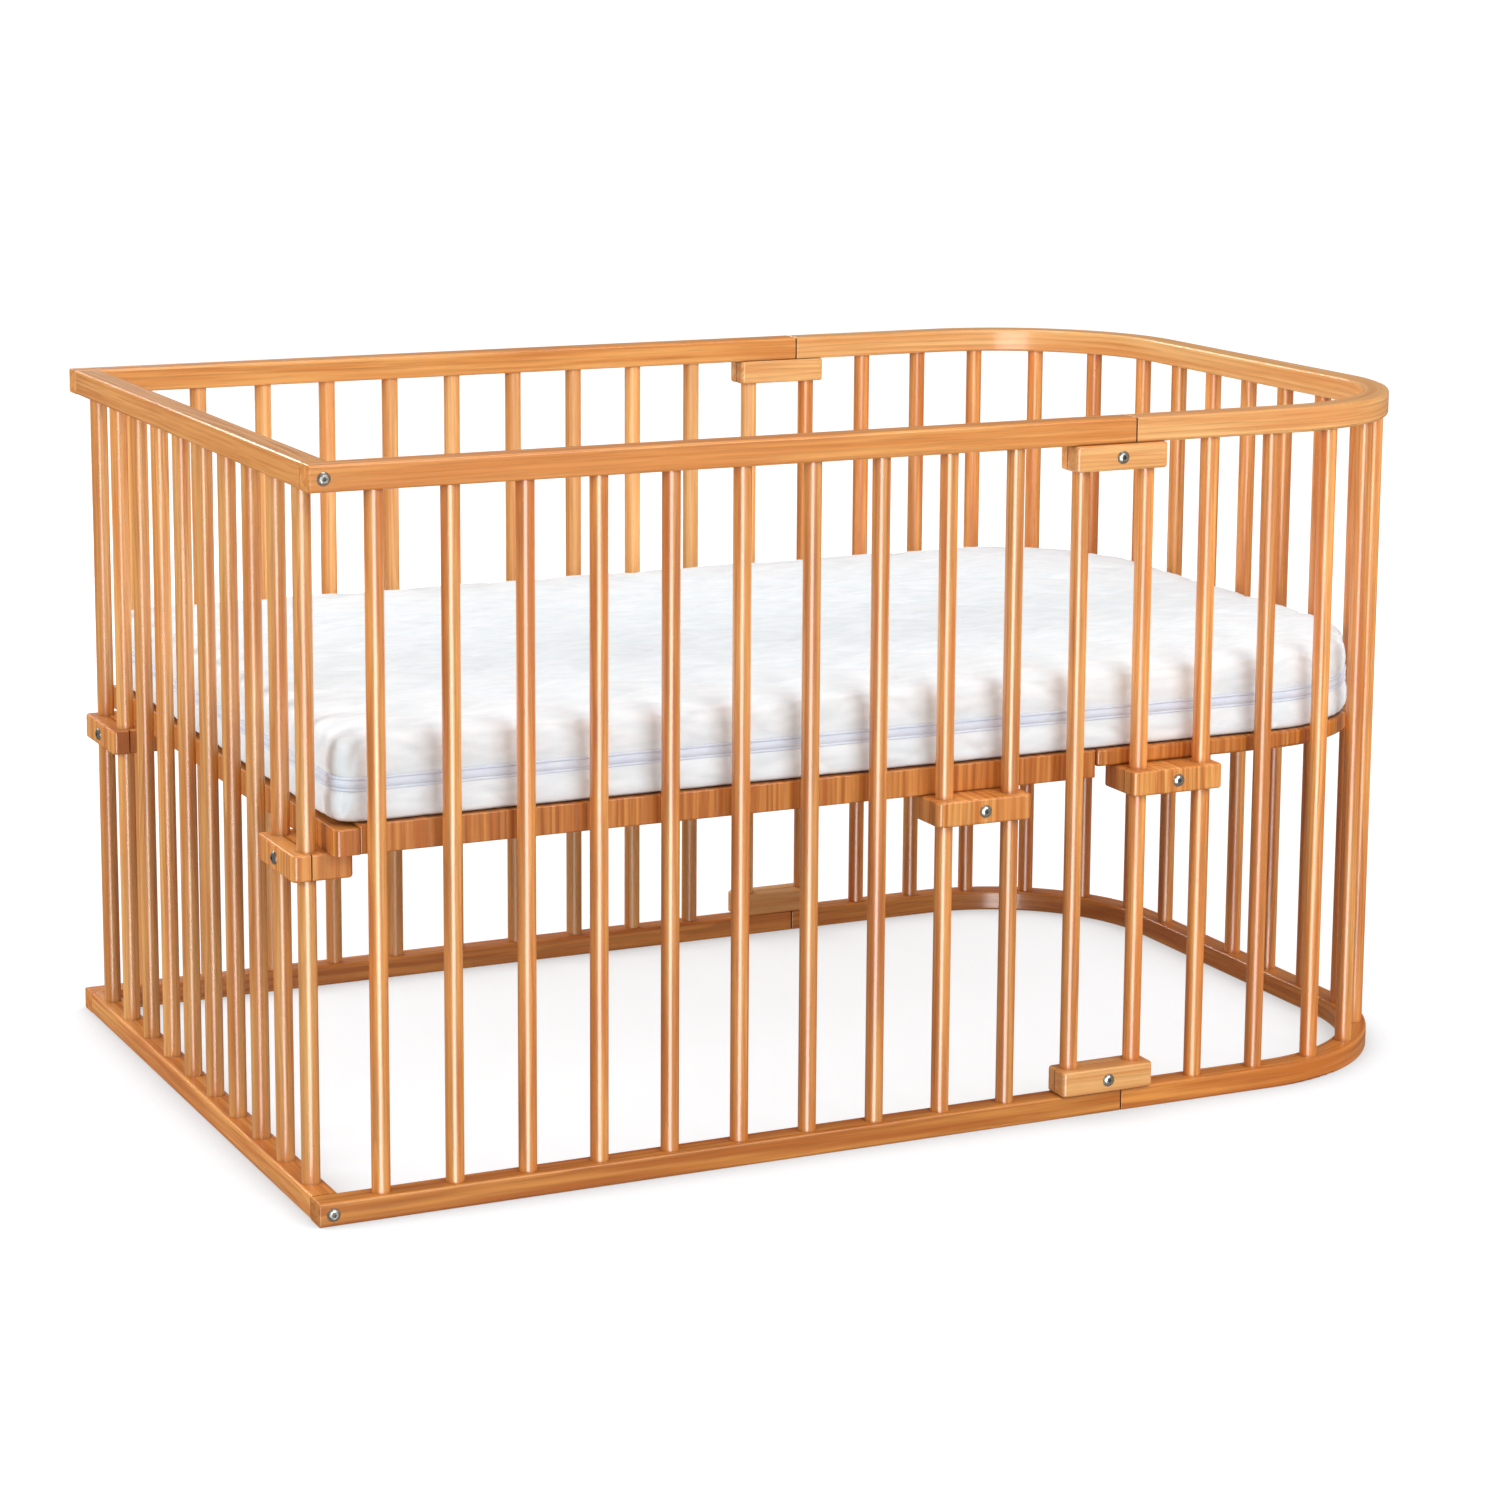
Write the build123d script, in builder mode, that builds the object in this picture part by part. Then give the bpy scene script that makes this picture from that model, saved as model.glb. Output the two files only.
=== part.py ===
from build123d import *
import math
import os

# Playpen cot: a wooden pen of round spindles, straight at one end and rounded at the other, with a
# bed base that hangs on clamps at mid height and a mattress on the base.
# +X runs from the straight end to the rounded end, +Y from the front to the back, +Z up.
# The origin is on the floor, under the centre of the whole pen. Units are millimetres.

# --- pen ---
length = 1412.0            # outside, straight end to rounded end, over the rails
width = 890.0              # outside, front to back, over the rails
height = 800.0             # floor to the top of the top rails
corner_radius = 238.0      # outside radius of the two round corners
rail_thickness = 30.5
top_rail_height = 28.6
base_rail_height = 26.0
rail_edge_radius = 3.0
rail_end_radius = 1.2
section_joint = 964.0      # from the straight end to the joint between straight and curved rails
joint_gap = 1.0

# --- spindles ---
spindle_radius = 10.0
spindle_fit = 0.05         # radial play in the rails and clamps
spindle_pitch = 82.9
side_spindle_count = 11    # on each straight side
end_spindle_count = 10
curved_spindle_count = 19
first_side_spindle = 73.0  # from the straight end to the first spindle of a side
socket_depth = 15.0        # blind hole in a rail
spindle_insertion = 13.5   # how far a spindle goes into its hole
spindle_chamfer = 1.0

# --- clamps on spindle pairs ---
clamp_overhang = 17.6      # past the axis of each spindle
clamp_height = 29.0
clamp_outer_depth = 21.0   # spindle axis to the outer face
connector_inner_depth = 17.5
support_inner_depth = 46.0
clamp_split = 1.5          # gap between the halves of a closed clamp
clamp_corner_radius = 6.0
clamp_edge_radius = 3.0
support_play = 0.1         # radial play of a support on its spindles, which it slides along
middle_support_spindle = 8 # a middle support holds this side spindle and the next one

# --- fasteners, M6 throughout ---
bolt_radius = 3.0
bolt_hole_radius = 3.25
bolt_head_radius = 7.2
bolt_head_height = 3.4
bolt_head_rim = 0.7
bolt_dome_radius = 6.5
bolt_end_chamfer = 0.5
socket_key = 4.0           # across the flats of the hexagon socket
socket_key_depth = 2.2
nut_radius = 5.0
insert_length = 13.0
clamp_bolt_reach = 12.0    # bolt beyond the split of the clamp
barrel_nut_length = 14.0
barrel_nut_inset = 18.0    # from the end of an end rail to its barrel nut
corner_bolt_length = 56.0
nut_play = 0.05
screw_radius = 2.0
screw_head_radius = 4.0
screw_length = 26.0
screw_play = 0.05
hole_spare = 0.5           # a blind hole runs this far past what it holds

# --- bed base ---
rim_gap = 3.5              # between the bed base and the inner faces of the rails
rim_height = 32.0
rim_thickness = 26.0
rebate_width = 12.0        # shelf along a rim that the slats lie on
rim_bottom = 385.5         # height of the bed base above the floor
base_top = rim_bottom + rim_height
end_bar_width = 27.0
end_bar_height = 28.0
rim_edge_radius = 2.0
slat_thickness = 12.0
slat_width = 60.0
slat_count = 9
slat_play = 0.5
slat_end_gap = 1.0         # before the first slat and after the last
slat_corner_radius = 2.0
straight_base_end = 940.5  # from the straight end of the pen
board_thickness = 20.0
board_gap = 2.0            # between straight and curved parts of the base
board_edge_radius = 4.0
slot_length = 300.0        # air slots in the board
slot_width = 24.0
slot_pitch = 90.0
slot_columns = 3
slot_row_gap = 60.0        # between the ends of the two rows
slot_shift = 55.0          # from the middle of the board towards the rounded end
crossbar_width = 40.0
batten_width = 60.0
batten_length = 130.0
batten_offset = 250.0      # from the middle of the pen
batten_setback = 5.0       # from the edge of the crossbar
batten_screw_inset = 35.0  # from the end of a batten to its screws in the board
dowel_radius = 5.0
dowel_length = 46.0
dowel_height = 10.0        # above the underside of the base

# --- mattress ---
mattress_inset = 5.5       # from the inner faces of the rails
mattress_thickness = 97.0
mattress_lift = 0.4        # clear of the base under it
mattress_corner_radius = 30.0
mattress_edge_radius = 22.0
mattress_base_radius = 10.0
mattress_wall = 6.0        # cover wall that gives the mattress its real weight

# --- worked out ---
stand_off = clamp_outer_depth - rail_thickness / 2 + bolt_head_height
left = -(length - stand_off) / 2          # outer face of the straight end
right = left + length
front = -width / 2
back = width / 2
rail_axis = rail_thickness / 2
top_rail_bottom = height - top_rail_height
joint_x = left + section_joint
arc_x = right - corner_radius             # where the round corners start
arc_y = back - corner_radius
base_left = left + rail_thickness + rim_gap
base_back = back - rail_thickness - rim_gap
base_joint_x = left + straight_base_end
board_bottom = base_top - board_thickness
slat_bottom = base_top - slat_thickness
screw_depth = screw_length - slat_thickness + hole_spare   # of a screw hole beyond a slat
OUTWARD = {"front": (0, -1, 0), "back": (0, 1, 0), "end": (-1, 0, 0)}

os.makedirs("parts", exist_ok=True)


def save(piece, name):
    """Label a finished sub-part and write it as its own STEP file."""
    piece.part.label = name
    export_step(piece.part, f"parts/{name}.step")


# --- where the spindles stand ---
side_xs = [left + first_side_spindle + i * spindle_pitch for i in range(side_spindle_count)]
end_ys = [(i - (end_spindle_count - 1) / 2) * spindle_pitch for i in range(end_spindle_count)]
front_points = [(x, front + rail_axis) for x in side_xs]
back_points = [(x, back - rail_axis) for x in side_xs]
end_points = [(left + rail_axis, y) for y in end_ys]


def rounded_end(inset, start_x):
    """Lines of the rounded end, this far inside the outline: front leg, corner, end, corner, back leg."""
    radius = corner_radius - inset
    Line((start_x, front + inset), (arc_x, front + inset))
    CenterArc((arc_x, -arc_y), radius, -90, 90)
    Line((right - inset, -arc_y), (right - inset, arc_y))
    CenterArc((arc_x, arc_y), radius, 0, 90)
    Line((arc_x, back - inset), (start_x, back - inset))


with BuildLine() as curved_axis:
    rounded_end(rail_axis, joint_x)
curve = curved_axis.wires()[0]
curve_start = first_side_spindle + side_spindle_count * spindle_pitch - section_joint
curve_pitch = (curve.length - 2 * curve_start) / (curved_spindle_count - 1)
curved_points = []
for i in range(curved_spindle_count):
    spot = curve.position_at((curve_start + i * curve_pitch) / curve.length)
    curved_points.append((spot.X, spot.Y))
if curved_points[0][1] > 0:
    curved_points.reverse()


# --- rails ---
def spindle_sockets(points, mouth_z, upwards):
    """Cut the blind holes of a rail; its spindles go in at mouth_z."""
    depth = socket_depth if upwards else -socket_depth
    with BuildSketch(Plane.XY.offset(mouth_z)) as mouths:
        with Locations(*points):
            Circle(spindle_radius + spindle_fit)
    extrude(mouths.sketch, amount=depth, mode=Mode.SUBTRACT)


def side_rail(side_y, z, rail_height, points, upwards):
    """Straight rail of the front or back, with its corner bolt hole."""
    with BuildPart() as rail:
        with BuildSketch(Plane.XY.offset(z)):
            with Locations((left, side_y)):
                Rectangle(section_joint - joint_gap / 2, rail_thickness, align=(Align.MIN, Align.CENTER))
        extrude(amount=rail_height)
        fillet(edges().filter_by(Axis.X), rail_edge_radius)
        rail_ends = faces().filter_by(Axis.X).sort_by(Axis.X)
        fillet(rail_ends[0].edges() + rail_ends[-1].edges(), rail_end_radius)
        spindle_sockets(points, z if upwards else z + rail_height, upwards)
        with BuildSketch(Plane.XZ.offset(-side_y)):
            with Locations((left + rail_axis, z + rail_height / 2)):
                Circle(bolt_hole_radius)
        extrude(amount=rail_thickness, both=True, mode=Mode.SUBTRACT)
    return rail


def end_rail(z, rail_height, upwards):
    """Rail of the straight end, between the side rails, with bolt bores and barrel nut holes."""
    span = width - 2 * rail_thickness
    bore = corner_bolt_length - rail_thickness + hole_spare
    bolt_z = z + rail_height / 2
    nut_y = span / 2 - barrel_nut_inset
    with BuildPart() as rail:
        with BuildSketch(Plane.XY.offset(z)):
            with Locations((left + rail_axis, 0)):
                Rectangle(rail_thickness, span)
        extrude(amount=rail_height)
        fillet(edges().filter_by(Axis.Y), rail_edge_radius)
        spindle_sockets(end_points, z if upwards else z + rail_height, upwards)
        for side in (-1, 1):
            with BuildSketch(Plane.XZ.offset(-side * span / 2)):
                with Locations((left + rail_axis, bolt_z)):
                    Circle(bolt_hole_radius)
            extrude(amount=side * bore, mode=Mode.SUBTRACT)
        with BuildSketch(Plane.XY.offset(z)):
            with Locations((left + rail_axis, -nut_y), (left + rail_axis, nut_y)):
                Circle(nut_radius + nut_play)
        extrude(amount=bolt_z - z + barrel_nut_length / 2 + hole_spare, mode=Mode.SUBTRACT)
    return rail


def curved_rail(z, rail_height, upwards):
    """Bent rail of the rounded end."""
    start_x = joint_x + joint_gap / 2
    with BuildPart() as rail:
        with BuildSketch(Plane.XY.offset(z)):
            with BuildLine(Plane.XY.offset(z)):
                rounded_end(0, start_x)
                rounded_end(rail_thickness, start_x)
                Line((start_x, front), (start_x, front + rail_thickness))
                Line((start_x, back), (start_x, back - rail_thickness))
            make_face()
        extrude(amount=rail_height)
        level = faces().filter_by(Axis.Z)
        long_edges = level.edges().filter_by(Axis.Y, reverse=True)
        tip_edges = level.edges().filter_by(Axis.Y).group_by(Axis.X)[0]
        end_edges = level.edges().filter_by(Axis.Y) - tip_edges
        fillet(long_edges + end_edges, rail_edge_radius)
        rail_tips = faces().filter_by(Axis.X).group_by(Axis.X)[0]
        fillet(rail_tips.edges(), rail_end_radius)
        spindle_sockets(curved_points, z if upwards else z + rail_height, upwards)
    return rail


for level_name, z, rail_height, upwards in (
    ("top", top_rail_bottom, top_rail_height, True),
    ("base", 0, base_rail_height, False),
):
    save(side_rail(front + rail_axis, z, rail_height, front_points, upwards), f"front_{level_name}_rail")
    save(side_rail(back - rail_axis, z, rail_height, back_points, upwards), f"back_{level_name}_rail")
    save(end_rail(z, rail_height, upwards), f"end_{level_name}_rail")
    save(curved_rail(z, rail_height, upwards), f"curved_{level_name}_rail")


# --- spindles ---
def spindles(points):
    """A group of equal spindles, glued into the base rail and the top rail."""
    foot = base_rail_height - spindle_insertion
    with BuildPart() as group:
        with BuildSketch(Plane.XY.offset(foot)):
            with Locations(*points):
                Circle(spindle_radius)
        extrude(amount=top_rail_bottom + spindle_insertion - foot)
        chamfer(edges().filter_by(GeomType.CIRCLE), spindle_chamfer)
    return group


save(spindles(front_points), "front_spindles")
save(spindles(back_points), "back_spindles")
save(spindles(end_points), "end_spindles")
save(spindles(curved_points), "curved_spindles")


# --- clamps: two blocks on a pair of spindles, drawn together by one bolt ---
def clamp_plane(pair, side, z):
    """Floor plan of a clamp: origin between its spindles, +x along the rail, +y outward."""
    outward = Vector(*OUTWARD[side])
    middle = ((pair[0][0] + pair[1][0]) / 2, (pair[0][1] + pair[1][1]) / 2, z)
    return Plane(origin=middle, x_dir=outward.cross(Vector(0, 0, 1)), z_dir=(0, 0, 1))


def bolt_plane(plan):
    """Plane across the bolt of a clamp, at the spindle axes, facing outward."""
    middle = plan.origin + Vector(0, 0, clamp_height / 2)
    return Plane(origin=middle, x_dir=plan.x_dir, z_dir=plan.y_dir)


def clamp_half(plan, pitch, depth, play):
    """One block of a clamp; a negative depth makes the inner block."""
    side = math.copysign(1, depth)
    block_length = pitch + 2 * clamp_overhang
    outward = Axis(plan.origin, plan.y_dir * side)
    with BuildPart() as block:
        with BuildSketch(plan):
            with Locations((0, side * (clamp_split / 2 + abs(depth)) / 2)):
                Rectangle(block_length, abs(depth) - clamp_split / 2)
        extrude(amount=clamp_height)
        face = faces().sort_by(outward)[-1]
        corners = face.edges().filter_by(Axis.Z)
        fillet(corners, clamp_corner_radius)
        face = faces().sort_by(outward)[-1]
        fillet(face.edges().filter_by(Axis.Z, reverse=True), clamp_edge_radius)
        with BuildSketch(plan):
            with Locations((-pitch / 2, 0), (pitch / 2, 0)):
                Circle(spindle_radius + play)
        extrude(amount=clamp_height, mode=Mode.SUBTRACT)
        with BuildSketch(bolt_plane(plan)):
            Circle(bolt_hole_radius if depth > 0 else nut_radius + nut_play)
        reach = depth if depth > 0 else -(clamp_split / 2 + insert_length + hole_spare)
        extrude(amount=reach, mode=Mode.SUBTRACT)
    return block


def domed_bolt(plane, head_at, shank):
    """Domed socket bolt along the plane's normal, its head seated at head_at."""
    seat = Plane(origin=plane.origin + plane.z_dir * head_at, x_dir=plane.x_dir, z_dir=plane.z_dir)
    side_view = Plane(origin=seat.origin, x_dir=seat.x_dir, z_dir=-seat.y_dir)
    with BuildPart() as bolt:
        with BuildSketch(side_view):
            with BuildLine():
                Line((0, -shank), (bolt_radius - bolt_end_chamfer, -shank))
                Line((bolt_radius - bolt_end_chamfer, -shank), (bolt_radius, -shank + bolt_end_chamfer))
                Line((bolt_radius, -shank + bolt_end_chamfer), (bolt_radius, 0))
                Line((bolt_radius, 0), (bolt_head_radius, 0))
                Line((bolt_head_radius, 0), (bolt_head_radius, bolt_head_rim))
                RadiusArc(
                    (bolt_head_radius, bolt_head_rim), (socket_key, bolt_head_height), -bolt_dome_radius
                )
                Line((socket_key, bolt_head_height), (0, bolt_head_height))
                Line((0, bolt_head_height), (0, -shank))
            make_face()
        revolve(axis=Axis(seat.origin, seat.z_dir))
        top = Plane(origin=seat.origin + seat.z_dir * bolt_head_height, x_dir=seat.x_dir, z_dir=seat.z_dir)
        with BuildSketch(top):
            RegularPolygon(socket_key / 2, 6, major_radius=False)
        extrude(amount=-socket_key_depth, mode=Mode.SUBTRACT)
    return bolt


def threaded_insert(plane):
    """Sleeve nut in the inner block of a clamp, flush with the split."""
    mouth = Plane(
        origin=plane.origin - plane.z_dir * (clamp_split / 2), x_dir=plane.x_dir, z_dir=plane.z_dir
    )
    with BuildPart() as insert:
        with BuildSketch(mouth):
            Circle(nut_radius)
            Circle(bolt_radius + nut_play, mode=Mode.SUBTRACT)
        extrude(amount=-insert_length)
    return insert


def group(pieces):
    """Gather equal fasteners as separate solids of one sub-part."""
    with BuildPart() as together:
        for piece in pieces:
            add(piece.part)
    return together


connectors = {
    "front_base": (front_points[-1], curved_points[0], "front", base_rail_height),
    "front_top": (front_points[-1], curved_points[0], "front", top_rail_bottom - clamp_height),
    "back_base": (back_points[-1], curved_points[-1], "back", base_rail_height),
    "back_top": (back_points[-1], curved_points[-1], "back", top_rail_bottom - clamp_height),
}
straight_support_z = rim_bottom - clamp_height
curved_support_z = board_bottom - clamp_height
front_middle_pair = front_points[middle_support_spindle:middle_support_spindle + 2]
back_middle_pair = back_points[middle_support_spindle:middle_support_spindle + 2]
supports = {
    "end_front": (end_points[0], end_points[1], "end", straight_support_z),
    "end_back": (end_points[-2], end_points[-1], "end", straight_support_z),
    "front_middle": (*front_middle_pair, "front", straight_support_z),
    "back_middle": (*back_middle_pair, "back", straight_support_z),
    "front_curve": (curved_points[0], curved_points[1], "front", curved_support_z),
    "back_curve": (curved_points[-2], curved_points[-1], "back", curved_support_z),
}

for clamps, kind, inner_depth, play in (
    (connectors, "connector", connector_inner_depth, spindle_fit),
    (supports, "support", support_inner_depth, support_play),
):
    bolts = []
    inserts = []
    for name, (one, other, side, z) in clamps.items():
        plan = clamp_plane((one, other), side, z)
        pitch = math.dist(one, other)
        save(clamp_half(plan, pitch, clamp_outer_depth, play), f"{name}_{kind}_outer")
        save(clamp_half(plan, pitch, -inner_depth, play), f"{name}_{kind}_inner")
        shank = clamp_outer_depth + clamp_split / 2 + clamp_bolt_reach
        bolts.append(domed_bolt(bolt_plane(plan), clamp_outer_depth, shank))
        inserts.append(threaded_insert(bolt_plane(plan)))
    save(group(bolts), f"{kind}_bolts")
    save(group(inserts), f"{kind}_inserts")


# --- corner fasteners: side rail to end rail ---
corner_bolts = []
barrel_nuts = []
for side_name, side in (("front", -1), ("back", 1)):
    for bolt_z in (base_rail_height / 2, top_rail_bottom + top_rail_height / 2):
        outward = Vector(*OUTWARD[side_name])
        seat = Plane(origin=(left + rail_axis, side * back, bolt_z), x_dir=(1, 0, 0), z_dir=outward)
        corner_bolts.append(domed_bolt(seat, 0, corner_bolt_length))
        nut_y = side * (back - rail_thickness - barrel_nut_inset)
        with BuildPart() as barrel_nut:
            with BuildSketch(Plane.XY.offset(bolt_z - barrel_nut_length / 2)):
                with Locations((left + rail_axis, nut_y)):
                    Circle(nut_radius)
            extrude(amount=barrel_nut_length)
            with BuildSketch(Plane.XZ.offset(-nut_y)):
                with Locations((left + rail_axis, bolt_z)):
                    Circle(bolt_radius + nut_play)
            extrude(amount=nut_radius + hole_spare, both=True, mode=Mode.SUBTRACT)
        barrel_nuts.append(barrel_nut)
save(group(corner_bolts), "corner_bolts")
save(group(barrel_nuts), "corner_barrel_nuts")


# --- bed base, straight part: an end bar, two rims, a crossbar and slats ---
rim_start = base_left + end_bar_width
rim_length = base_joint_x - rim_start
rim_inner = base_back - rim_thickness
rim_y = base_back - rim_thickness / 2
rebate_back = rim_inner + rebate_width                 # wall of the rebate that holds the slats
slat_span = base_joint_x - crossbar_width - rim_start - 2 * slat_end_gap
slat_step = (slat_span - slat_width) / (slat_count - 1)
first_slat_x = rim_start + slat_end_gap + slat_width / 2
slat_xs = [first_slat_x + i * slat_step for i in range(slat_count)]
slat_length = 2 * (rebate_back - slat_play)
crossbar_x = base_joint_x - crossbar_width / 2
screw_y = (rim_inner + rebate_back) / 2
dowel_z = rim_bottom + dowel_height
dowel_plane = Plane(origin=(rim_start, 0, 0), x_dir=(0, 1, 0), z_dir=(1, 0, 0))


def dowel_holes(side_ys, depth):
    """Blind holes for glued dowels, from the joint of the end bar and the rims, this far along +X."""
    with BuildSketch(dowel_plane) as mouths:
        with Locations(*[(y, dowel_z) for y in side_ys]):
            Circle(dowel_radius + nut_play)
    extrude(mouths.sketch, amount=depth, mode=Mode.SUBTRACT)


with BuildPart() as base_end_bar:
    with BuildSketch(Plane.XY.offset(rim_bottom)):
        with Locations((base_left, 0)):
            Rectangle(end_bar_width, 2 * base_back, align=(Align.MIN, Align.CENTER))
    extrude(amount=end_bar_height)
    outer_corners = edges().filter_by(Axis.Z).group_by(Axis.X)[0]
    fillet(outer_corners, clamp_corner_radius)
    fillet(faces().sort_by(Axis.Z)[-1].edges(), rim_edge_radius)
    dowel_holes((-rim_y, rim_y), -(dowel_length / 2 + hole_spare))
save(base_end_bar, "base_end_bar")

for side_name, side in (("front", -1), ("back", 1)):
    with BuildPart() as rim:
        with BuildSketch(Plane.XY.offset(rim_bottom)):
            with Locations((rim_start, side * rim_y)):
                Rectangle(rim_length, rim_thickness, align=(Align.MIN, Align.CENTER))
        extrude(amount=rim_height)
        rim_face = faces().sort_by(Axis.Y)[0 if side < 0 else -1]
        fillet(rim_face.edges(), rim_edge_radius)
        with BuildSketch(Plane.XY.offset(slat_bottom)):
            with Locations((rim_start, side * screw_y)):
                Rectangle(rim_length, rebate_width, align=(Align.MIN, Align.CENTER))
        extrude(amount=slat_thickness, mode=Mode.SUBTRACT)
        with BuildSketch(Plane.XY.offset(slat_bottom)):
            with Locations(*[(x, side * screw_y) for x in slat_xs + [crossbar_x]]):
                Circle(screw_radius + screw_play)
        extrude(amount=-screw_depth, mode=Mode.SUBTRACT)
        dowel_holes((side * rim_y,), dowel_length / 2 + hole_spare)
    save(rim, f"base_{side_name}_rim")

with BuildPart() as base_slats:
    with BuildSketch(Plane.XY.offset(slat_bottom)):
        with Locations(*[(x, 0) for x in slat_xs]):
            RectangleRounded(slat_width, slat_length, slat_corner_radius)
    extrude(amount=slat_thickness)
    with Locations(*[(x, y, base_top) for x in slat_xs for y in (-screw_y, screw_y)]):
        CounterSinkHole(screw_radius + screw_play, screw_head_radius + screw_play, slat_thickness)
save(base_slats, "base_slats")

with BuildPart() as base_crossbar:
    with BuildSketch(Plane.XY.offset(board_bottom)):
        with Locations((crossbar_x, 0)):
            Rectangle(crossbar_width, 2 * (rim_inner - slat_play))
    extrude(amount=board_thickness)
    with BuildSketch(Plane.XY.offset(slat_bottom)):
        with Locations((crossbar_x, 0)):
            Rectangle(crossbar_width, slat_length)
    extrude(amount=slat_thickness)
    with Locations((crossbar_x, -screw_y, base_top), (crossbar_x, screw_y, base_top)):
        CounterSinkHole(screw_radius + screw_play, screw_head_radius + screw_play, slat_thickness)
    with BuildSketch(Plane.XY.offset(board_bottom)):
        with Locations((crossbar_x, -batten_offset), (crossbar_x, batten_offset)):
            with GridLocations(0, batten_width / 2, 1, 2):
                Circle(screw_radius + screw_play)
    extrude(amount=screw_depth, mode=Mode.SUBTRACT)
save(base_crossbar, "base_crossbar")

with BuildPart() as base_dowels:
    with BuildSketch(dowel_plane):
        with Locations((-rim_y, dowel_z), (rim_y, dowel_z)):
            Circle(dowel_radius)
    extrude(amount=dowel_length / 2, both=True)
save(base_dowels, "base_dowels")

# --- bed base, curved part: a board with air slots, joined to the straight part by two battens ---
board_right = right - rail_thickness - rim_gap
board_left = base_joint_x + board_gap
batten_x = base_joint_x - crossbar_width + batten_setback
board_screw_x = batten_x + batten_length - batten_screw_inset
with BuildPart() as base_board:
    with BuildSketch(Plane.XY.offset(board_bottom)):
        with BuildLine(Plane.XY.offset(board_bottom)):
            rounded_end(rail_thickness + rim_gap, board_left)
            Line((board_left, base_back), (board_left, -base_back))
        make_face()
        with Locations(((board_left + board_right) / 2 + slot_shift, 0)):
            with GridLocations(slot_pitch, slot_length + slot_row_gap, slot_columns, 2):
                SlotOverall(slot_length, slot_width, rotation=90, mode=Mode.SUBTRACT)
    extrude(amount=board_thickness)
    corners = edges().filter_by(Axis.Z).group_by(Axis.X)[0]
    fillet(corners, board_edge_radius)
    rim_edges = faces().filter_by(Axis.Z).wires()
    outline = rim_edges.sort_by(SortBy.LENGTH)[-2:].edges()
    fillet(outline, board_edge_radius)
    with BuildSketch(Plane.XY.offset(board_bottom)):
        with Locations((board_screw_x, -batten_offset), (board_screw_x, batten_offset)):
            with GridLocations(0, batten_width / 2, 1, 2):
                Circle(screw_radius + screw_play)
    extrude(amount=screw_depth, mode=Mode.SUBTRACT)
save(base_board, "base_curved_board")

batten_screw_spots = []
for x in (crossbar_x, board_screw_x):
    for y in (-batten_offset, batten_offset):
        for offset_y in (-batten_width / 4, batten_width / 4):
            batten_screw_spots.append((x, y + offset_y))
with BuildPart() as base_battens:
    with BuildSketch(Plane.XY.offset(rim_bottom)):
        with Locations((batten_x, -batten_offset), (batten_x, batten_offset)):
            Rectangle(batten_length, batten_width, align=(Align.MIN, Align.CENTER))
    extrude(amount=slat_thickness)
    fillet(edges().filter_by(Axis.Z), rail_edge_radius)
    with BuildSketch(Plane.XY.offset(rim_bottom)):
        with Locations(*batten_screw_spots):
            Circle(screw_radius + screw_play)
    extrude(amount=slat_thickness, mode=Mode.SUBTRACT)
    with BuildSketch(Plane.XY.offset(rim_bottom)):
        with Locations(*batten_screw_spots):
            Circle(screw_head_radius + screw_play)
    extrude(amount=screw_head_radius - screw_radius, taper=45, mode=Mode.SUBTRACT)
save(base_battens, "base_battens")


def countersunk_screws(points, z, upwards):
    """Wood screws, their heads flush at z; upwards says that they point up."""
    sign = 1 if upwards else -1
    with BuildPart() as screws:
        with BuildSketch(Plane.XY.offset(z)):
            with Locations(*points):
                Circle(screw_radius)
        extrude(amount=sign * screw_length)
        with BuildSketch(Plane.XY.offset(z)):
            with Locations(*points):
                Circle(screw_head_radius)
        extrude(amount=sign * (screw_head_radius - screw_radius), taper=45)
    return screws


slat_screw_spots = [(x, y) for x in slat_xs + [crossbar_x] for y in (-screw_y, screw_y)]
save(countersunk_screws(slat_screw_spots, base_top, False), "slat_screws")
save(countersunk_screws(batten_screw_spots, rim_bottom, True), "batten_screws")

# --- mattress ---
mattress_left = left + rail_thickness + mattress_inset
mattress_back = back - rail_thickness - mattress_inset
mattress_bottom = base_top + mattress_lift


def mattress_body(inset):
    """Mattress shape drawn in by inset: two round corners, softly padded over the top and bottom edges."""
    start_x = mattress_left + inset
    start_y = mattress_back - inset
    with BuildPart() as body:
        with BuildSketch(Plane.XY.offset(mattress_bottom + inset)) as outline:
            with BuildLine(Plane.XY.offset(mattress_bottom + inset)):
                rounded_end(rail_thickness + mattress_inset + inset, start_x)
                Line((start_x, start_y), (start_x, -start_y))
            make_face()
            fillet(outline.vertices().group_by(Axis.X)[0], mattress_corner_radius - inset)
        extrude(amount=mattress_thickness - 2 * inset)
        fillet(faces().sort_by(Axis.Z)[-1].edges(), mattress_edge_radius - inset)
        fillet(faces().sort_by(Axis.Z)[0].edges(), mattress_base_radius - inset)
    return body


cover = mattress_body(0)
hollow = mattress_body(mattress_wall)
with BuildPart() as mattress:
    add(cover.part)
    add(hollow.part, mode=Mode.SUBTRACT)
save(mattress, "mattress")
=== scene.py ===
import math

import bpy
import numpy as np
from mathutils import Matrix, Vector

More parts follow.
